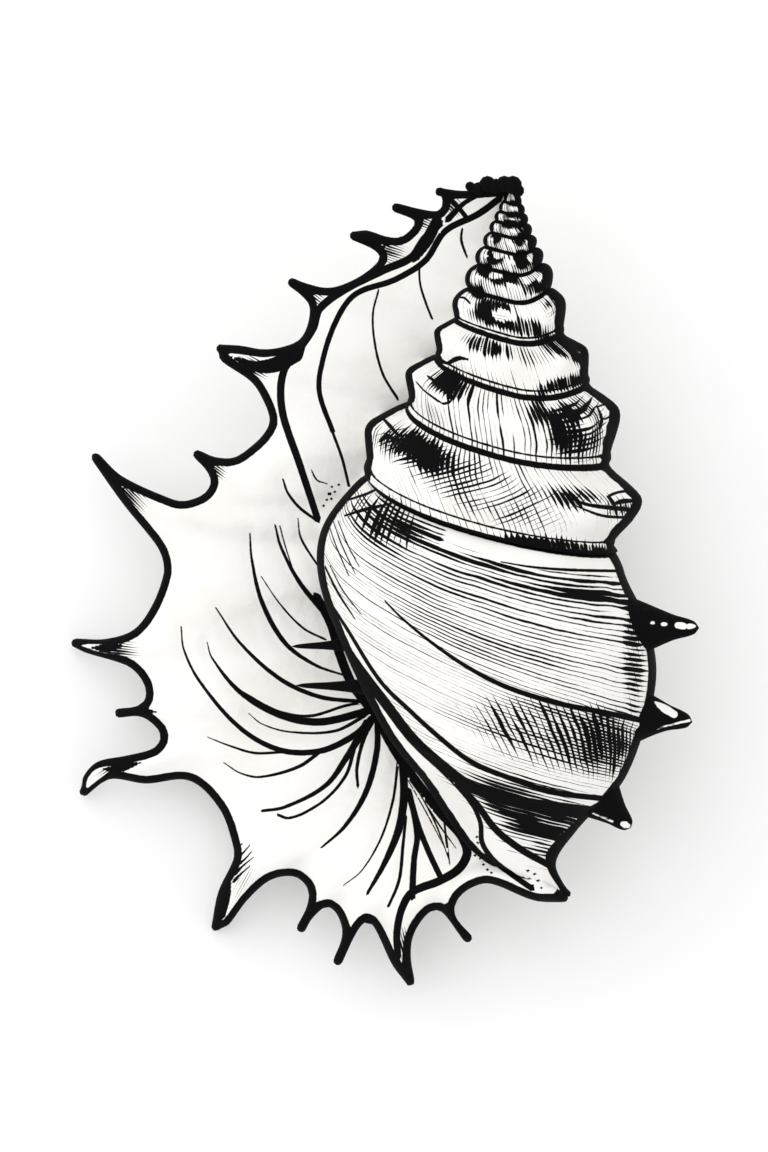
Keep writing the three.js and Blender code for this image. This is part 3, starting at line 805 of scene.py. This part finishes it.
def paintSpire(face):
    perWhorl = len(spire["shares"])
    rows = [round(loop[grid].uv.y * (spireRows + 1)) for loop in face.loops]
    whorl = min(rows) // perWhorl
    fromLast = coil["whorls"] - whorl
    isLast = int(fromLast == 0)
    lines = round(spireLines["count"] * spireLines["fewer"] ** fromLast)
    for loop, row in zip(face.loops, rows):
        turn = loop[grid].uv.x
        order = row - whorl * perWhorl
        share = spire["shares"][order] if order < perWhorl else 1
        height = sutureDepth(turn - fromLast) - sutureDepth(turn - fromLast - 1)
        seam = spireLines["seam"] + spireLines["seamGrowth"] * height
        above = (1 - share) * height
        fromRim = abs(above - spireLines["rimPlace"] * height)
        rim = spireLines["rimHalf"] - fromRim if fromLast < spireLines["rimWhorls"] else -1
        tone, cross = shadeAt(loop.vert.co)
        tone += spireLines["upperShade"] * smoothstep(loop.vert.co.y, *spireLines["upperFrom"])
        front = frontShare(turn)
        swell, shoulder = knobAt(turn, share)
        # Pale knob tops are painted highlights; the patches and the upper spire add painted shade.
        knob = 1 - spireLines["knobHighlight"] * (swell * shoulder ** 2) ** 2
        shade = spireLines["tone"] + front * tone + (1 - front) * coilLines["backTone"]
        setMarks(loop,
                 hatchLine=turn * lines - spireLines["lean"][isLast] * share,
                 hatchTone=max(0, knob) * shade,
                 crossLine=share * spireLines["crossCount"] + turn * spireLines["crossLean"][isLast],
                 crossTone=front * cross,
                 contour=max(seam - share * height, seam - above, rim, coilOutline(loop.vert.co)))


bodyLines = {
    "flowCount": 30,  # from each guide of the flow to the next
    "crossCount": 110,
    "crossLean": 6,
    "tone": 0.2,
    "seam": 0.6,
    "paleBand": (0.03, 0.06),  # under the suture, past the first turns
    "paleBandFrom": 0.2,
    "lipSide": (0.05, 0.13),  # turns over which the lines begin beside the lip
    "lipSideFrom": 0.3,
    "paleTip": (0.93, 0.87),
    "canalTurn": 0.15,  # pale side of the canal, wider towards its tip
    "canalFrom": 0.66,
    "canalFlare": 3,
    "canalFade": 0.04,
    "mouthCount": 0.8,  # to the mm, inside the mouth
    # painted shade inside the mouth
    "mouthShade": 0.5,
}


def bodyFlow(turn, share):  # 0 at the suture, 1 at the keel, 2 at the base keel, 3 at the end of the canal
    guides = (0, keelShare(body["keel"], turn), keelShare(body["baseKeel"], turn), 1.0001)
    step = max(k for k in range(3) if share >= guides[k])
    return step + (share - guides[step]) / (guides[step + 1] - guides[step])


def paintBody(face):
    for loop in face.loops:
        turn, v = loop[grid].uv
        if turn < -0.5:  # inside the mouth, hatched as painted shade
            mouthLine = loop.vert.co.y * bodyLines["mouthCount"]
            setMarks(loop, hatchLine=mouthLine, hatchTone=bodyLines["mouthShade"])
            continue
        share = bodyShare(v)
        flow = bodyFlow(turn, share)
        top = bodyTop(turn)
        tone, cross = shadeAt(loop.vert.co)
        front = frontShare(turn)
        strip = 1
        if share > bodyLines["lipSideFrom"]:
            strip = smoothstep(turn, *bodyLines["lipSide"]) * smoothstep(share, *bodyLines["paleTip"])
        if flow > 2:
            flare = bodyLines["canalFlare"] * max(share - bodyLines["canalFrom"], 0) ** 2
            canalSide = bodyLines["canalTurn"] + flare
            strip *= smoothstep(turn, canalSide - bodyLines["canalFade"], canalSide)
        band = smoothstep(share, *bodyLines["paleBand"]) if turn > bodyLines["paleBandFrom"] else 1
        shade = bodyLines["tone"] + front * tone + (1 - front) * coilLines["backTone"]
        seam = bodyLines["seam"] - share * (coil["tipDepth"] - top)
        setMarks(loop,
                 hatchLine=flow * bodyLines["flowCount"],
                 hatchTone=strip * band * shade,
                 crossLine=turn * bodyLines["crossCount"] - bodyLines["crossLean"] * flow,
                 crossTone=front * cross,
                 contour=max(seam, coilOutline(loop.vert.co)))


def paintLip(face):
    for loop in face.loops:
        point = fromAbove(loop.vert.co)
        spine = lipSpines[rootTree.find(point)[1]]
        axis = spineAxis(spine)
        offset = point - fromPicture(*spine["tip"])
        away = (offset - axis * lip["hatchPlace"]).length
        tipShare = smoothstep(offset.length / axis.length, 1, 0.5)
        margin = lip["margin"] * (1 + (spine.get("tipEdge", lip["tipEdge"]) - 1) * tipShare)
        # The hatching at each spine's root is painted shade.
        setMarks(loop,
                 hatchLine=axis.normalized().cross(offset).z / lip["hatchSpacing"],
                 hatchTone=spine.get("hatch", lip["hatch"]) * hump(away, lip["hatchReach"] * axis.length),
                 contour=margin - edgeDistance(point))


def paintDark(face):  # dark but for the painted highlights
    for loop in face.loops:
        place, index, away = paintedGlintTree.find(fromAbove(loop.vert.co))
        setMarks(loop, contour=min(1, away - paintedGlintSamples[index]["half"]))


strokeReach = 2.5  # past the half width of any stroke


def drawStrokes(faces, strokes):  # each face carries its own distance to its two nearest strokes
    samples, tree = strokeSamples(strokes)
    for face in faces:
        if face.normal.z < -0.1:  # strokes are on the upper side
            continue
        nearest = {}
        for place, index, away in tree.find_range(fromAbove(face.calc_center_median()), strokeReach):
            room = away - samples[index]["half"]
            stroke = samples[index]["stroke"]
            if stroke not in nearest or room < nearest[stroke][0]:
                nearest[stroke] = (room, index)
        for (room, index), slot in zip(sorted(nearest.values()), ("stroke", "branch")):
            sample = samples[index]
            for loop in face.loops:
                offset = fromAbove(loop.vert.co) - sample["point"]
                past = max(0, sample["end"] * offset.dot(sample["ahead"]))
                loop[marks[slot + "Side"]] = sample["ahead"].cross(offset).z
                loop[marks[slot + "Half"]] = sample["half"] - past


# One bmesh holds the whole shell.
shellBm = bmesh.new()
shellBm.from_mesh(hollowBody())
grid = shellBm.loops.layers.uv["grid"]
markNames = ("hatchLine", "hatchTone", "crossLine", "crossTone", "contour", "strokeSide", "strokeHalf",
             "branchSide", "branchHalf")
marks = {name: shellBm.loops.layers.float.new(name) for name in markNames}
bodyFaces = list(shellBm.faces)
print("body whorl:", len(bodyFaces), "faces")
spireFaces = rolledGrid(shellBm, spire["columns"], spireRows + 1, spirePoint)
print("spire:", len(spireFaces), "faces")
lipFaces = makeLip(shellBm)
print("lip:", len(lipFaces), "faces")
darkFaces = []
for spine in bodySpines:
    darkFaces += rolledGrid(shellBm, spineShape["sides"], spineShape["rings"],
                            lambda u, v: spinePoint(spine, u, v))
for centre, radius in apexKnobs:
    made = bmesh.ops.create_icosphere(shellBm, subdivisions=2, radius=radius)["verts"]
    bmesh.ops.translate(shellBm, verts=made, vec=Vector(centre) + middleShift)
    darkFaces += list({face for vert in made for face in vert.link_faces})
print("spines and knobs:", len(darkFaces), "faces")

sidesOfCoil = coilSides({vert for face in bodyFaces + spireFaces for vert in face.verts})
shellBm.normal_update()
for face in shellBm.faces:
    face.smooth = True
    for loop in face.loops:
        setMarks(loop, contour=-1, strokeHalf=-1, branchHalf=-1)
# The markings are painted here together with the painted shade and the painted highlights.
for faces, paint in ((bodyFaces, paintBody), (spireFaces, paintSpire), (lipFaces, paintLip),
                     (darkFaces, paintDark)):
    for face in faces:
        paint(face)
drawStrokes(bodyFaces, bodyStrokes + sharedStrokes + grainStrokes(canalGrains))
drawStrokes(spireFaces, spireStrokes)
drawStrokes(lipFaces, lipStrokes + sharedStrokes + grainStrokes(lipGrains + canalGrains))
print("markings painted")

for vert in shellBm.verts:
    vert.co.z = max(vert.co.z, 0)  # worn flat where the shell lies
bmesh.ops.scale(shellBm, vec=[metresPerMm] * 3, verts=shellBm.verts)
shell = meshObject("murex_shell_visual", shellBm)
print("shell:", sum(len(p.vertices) - 2 for p in shell.data.polygons), "triangles")

# Ivory shell with near-black markings, whose black also carries the painted shade, and painted highlights
# left ivory.
shellFinish = {
    "ivory": (0.93, 0.92, 0.89, 1),
    "chalk": (0.86, 0.845, 0.8, 1),
    "black": (0.003, 0.003, 0.0035, 1),
    "roughness": 0.4,
    "darkRoughness": 0.85,
    "specular": 0.06,
    "grainScale": 900,
    "chalkScale": 60,
    "wobbleScale": 70,
    "wobble": 1.6,  # of the hatching, in lines
    "lineApart": 7.31,  # how unlike its neighbour a line is
    "lineStretch": 0.06,  # how slowly a line changes along itself
    "uneven": (5, -1.5),  # gain and start of a line's width
    "solid": (0.7, 0.8),  # tone from which lines close up, and how fast
    "ragged": 0.3,
    "lineBlur": 0.12,
    "edgeBlur": 0.05,
    "edgeGrain": 0.2,  # roughness of the dark edges, and of the strokes, in mm
    "strokeGrain": 0.12,
    "chalky": (0.45, 0.75),
    "etch": -0.5,  # height of the markings and painted shade, in grains
    "relief": 0.25,
    "reliefDepth": 0.0004,
}


def shellMaterial():
    material = bpy.data.materials.new("markedShell")
    material.use_nodes = True
    nodes, links = material.node_tree.nodes, material.node_tree.links

    def fill(node, inputs):  # each with a value, or with the socket that it comes from
        for name, value in inputs.items():
            if isinstance(value, bpy.types.NodeSocket):
                links.new(value, node.inputs[name])
            else:
                node.inputs[name].default_value = value

    def add(kind, inputs, **settings):
        node = nodes.new("ShaderNode" + kind)
        for name, value in settings.items():
            setattr(node, name, value)
        fill(node, inputs)
        return node.outputs

    def calc(operation, *values):
        return add("Math", dict(enumerate(values)), operation=operation)[0]

    def mark(name):
        return add("Attribute", {}, attribute_name=name)["Fac"]

    def cloud(vector, scale, detail):
        return add("TexNoise", {"Vector": vector, "Scale": scale, "Detail": detail})["Fac"]

    def step(value, low, high):
        inputs = {"Value": value, "From Min": low, "From Max": high}
        return add("MapRange", inputs, interpolation_type="SMOOTHSTEP")["Result"]

    def edge(value, blur):
        return step(value, -blur, blur)

    def blend(share, a, b):  # the colour sockets of a mix have numbers
        return add("Mix", {"Factor": share, 6: a, 7: b}, data_type="RGBA")[2]

    place = add("TexCoord", {})["Object"]
    grain = cloud(place, shellFinish["grainScale"], 3)

    def hatching(line, other, tone):  # lines that swell, thin out and break as a pen's do
        bent = calc("MULTIPLY_ADD", cloud(place, shellFinish["wobbleScale"], 3), shellFinish["wobble"], line)
        apart = calc("MULTIPLY", calc("FLOOR", bent), shellFinish["lineApart"])
        onward = calc("MULTIPLY", other, shellFinish["lineStretch"])
        pair = add("CombineXYZ", {"X": apart, "Y": onward})["Vector"]
        uneven = calc("MULTIPLY_ADD", cloud(pair, 1, 2), *shellFinish["uneven"])
        away = calc("MULTIPLY", calc("ABSOLUTE", calc("SUBTRACT", calc("FRACT", bent), 0.5)), 2)
        solidFrom, solidGain = shellFinish["solid"]
        solid = calc("MULTIPLY", calc("MAXIMUM", calc("SUBTRACT", tone, solidFrom), 0), solidGain)
        weight = calc("ADD", calc("MULTIPLY", tone, uneven), solid)
        ragged = calc("MULTIPLY_ADD", grain, shellFinish["ragged"], -shellFinish["ragged"])
        return edge(calc("SUBTRACT", calc("ADD", weight, ragged), away), shellFinish["lineBlur"])

    def rough(room, depth):  # an edge made uneven by the grain
        middle = calc("SUBTRACT", room, depth / 2)
        return edge(calc("MULTIPLY_ADD", grain, depth, middle), shellFinish["edgeBlur"])

    def strokeRoom(slot):
        return calc("SUBTRACT", mark(slot + "Half"), calc("ABSOLUTE", mark(slot + "Side")))

    # The hatching, contour and strokes carry the painted shade as well as the markings.
    hatch = hatching(mark("hatchLine"), mark("crossLine"), mark("hatchTone"))
    across = hatching(mark("crossLine"), mark("hatchLine"), mark("crossTone"))
    contour = rough(mark("contour"), shellFinish["edgeGrain"])
    stroke = rough(calc("MAXIMUM", strokeRoom("stroke"), strokeRoom("branch")), shellFinish["strokeGrain"])
    dark = calc("MAXIMUM", calc("MAXIMUM", hatch, across), calc("MAXIMUM", contour, stroke))

    chalky = step(cloud(place, shellFinish["chalkScale"], 4), *shellFinish["chalky"])
    ground = blend(chalky, shellFinish["ivory"], shellFinish["chalk"])
    rougher = shellFinish["darkRoughness"] - shellFinish["roughness"]
    bump = add("Bump", {"Strength": shellFinish["relief"], "Distance": shellFinish["reliefDepth"],
                        "Height": calc("MULTIPLY_ADD", dark, shellFinish["etch"], grain)})
    fill(nodes["Principled BSDF"], {
        "Base Color": blend(dark, ground, shellFinish["black"]),
        "Roughness": calc("MULTIPLY_ADD", dark, rougher, shellFinish["roughness"]),
        "Specular IOR Level": shellFinish["specular"],
        "Normal": bump["Normal"],
    })
    return material


shell.data.materials.append(shellMaterial())
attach(shell, "root")
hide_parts("murex_shell")

# Floor, light and camera.
studio = {
    "floorSize": 3,
    "floor": (0.95, 0.95, 0.95, 1),
    "floorRoughness": 0.9,
    "floorSpecular": 0.1,
    "sky": (1, 1, 1, 1),
    "skyStrength": 0.9,
    "lampPower": 5.5,
    "lampSize": 1.3,
    "lampPlace": (-0.4, 0.45, 1.05),
    "lampAim": (0, 0, 0.02),
    "lens": 600,
    "sensor": 36,
    "farthest": 50,
    "focusZ": 0.015,
}


def makeFloor():
    bm = bmesh.new()
    bmesh.ops.create_grid(bm, x_segments=1, y_segments=1, size=studio["floorSize"])
    floor = meshObject("floor", bm)
    material = bpy.data.materials.new("paleFloor")
    material.use_nodes = True
    shader = material.node_tree.nodes["Principled BSDF"]
    shader.inputs["Base Color"].default_value = studio["floor"]
    shader.inputs["Roughness"].default_value = studio["floorRoughness"]
    shader.inputs["Specular IOR Level"].default_value = studio["floorSpecular"]
    floor.data.materials.append(material)


def makeLight():
    world = bpy.data.worlds.new("studio")
    world.use_nodes = True
    sky = world.node_tree.nodes["Background"]
    sky.inputs["Color"].default_value = studio["sky"]
    sky.inputs["Strength"].default_value = studio["skyStrength"]
    bpy.context.scene.world = world
    light = bpy.data.lights.new("softbox", "AREA")
    light.size = studio["lampSize"]
    light.energy = studio["lampPower"]
    lamp = addObject("softbox", light)
    lamp.location = studio["lampPlace"]
    lamp.rotation_euler = (Vector(studio["lampAim"]) - lamp.location).to_track_quat("-Z", "Y").to_euler()


def makeCamera():
    tall = picture["tall"] * picture["pixel"] * metresPerMm
    data = bpy.data.cameras.new("camera")
    data.lens = studio["lens"]
    data.sensor_width = studio["sensor"]
    data.clip_end = studio["farthest"]
    camera = addObject("camera", data)
    middle = fromPicture(picture["wide"] / 2, picture["tall"] / 2) * metresPerMm
    distance = data.lens / data.sensor_width * tall
    camera.location = (middle.x, middle.y, distance + studio["focusZ"])
    bpy.context.scene.camera = camera


makeFloor()
makeLight()
makeCamera()
bpy.context.scene.view_settings.view_transform = "Standard"
print("stage set")
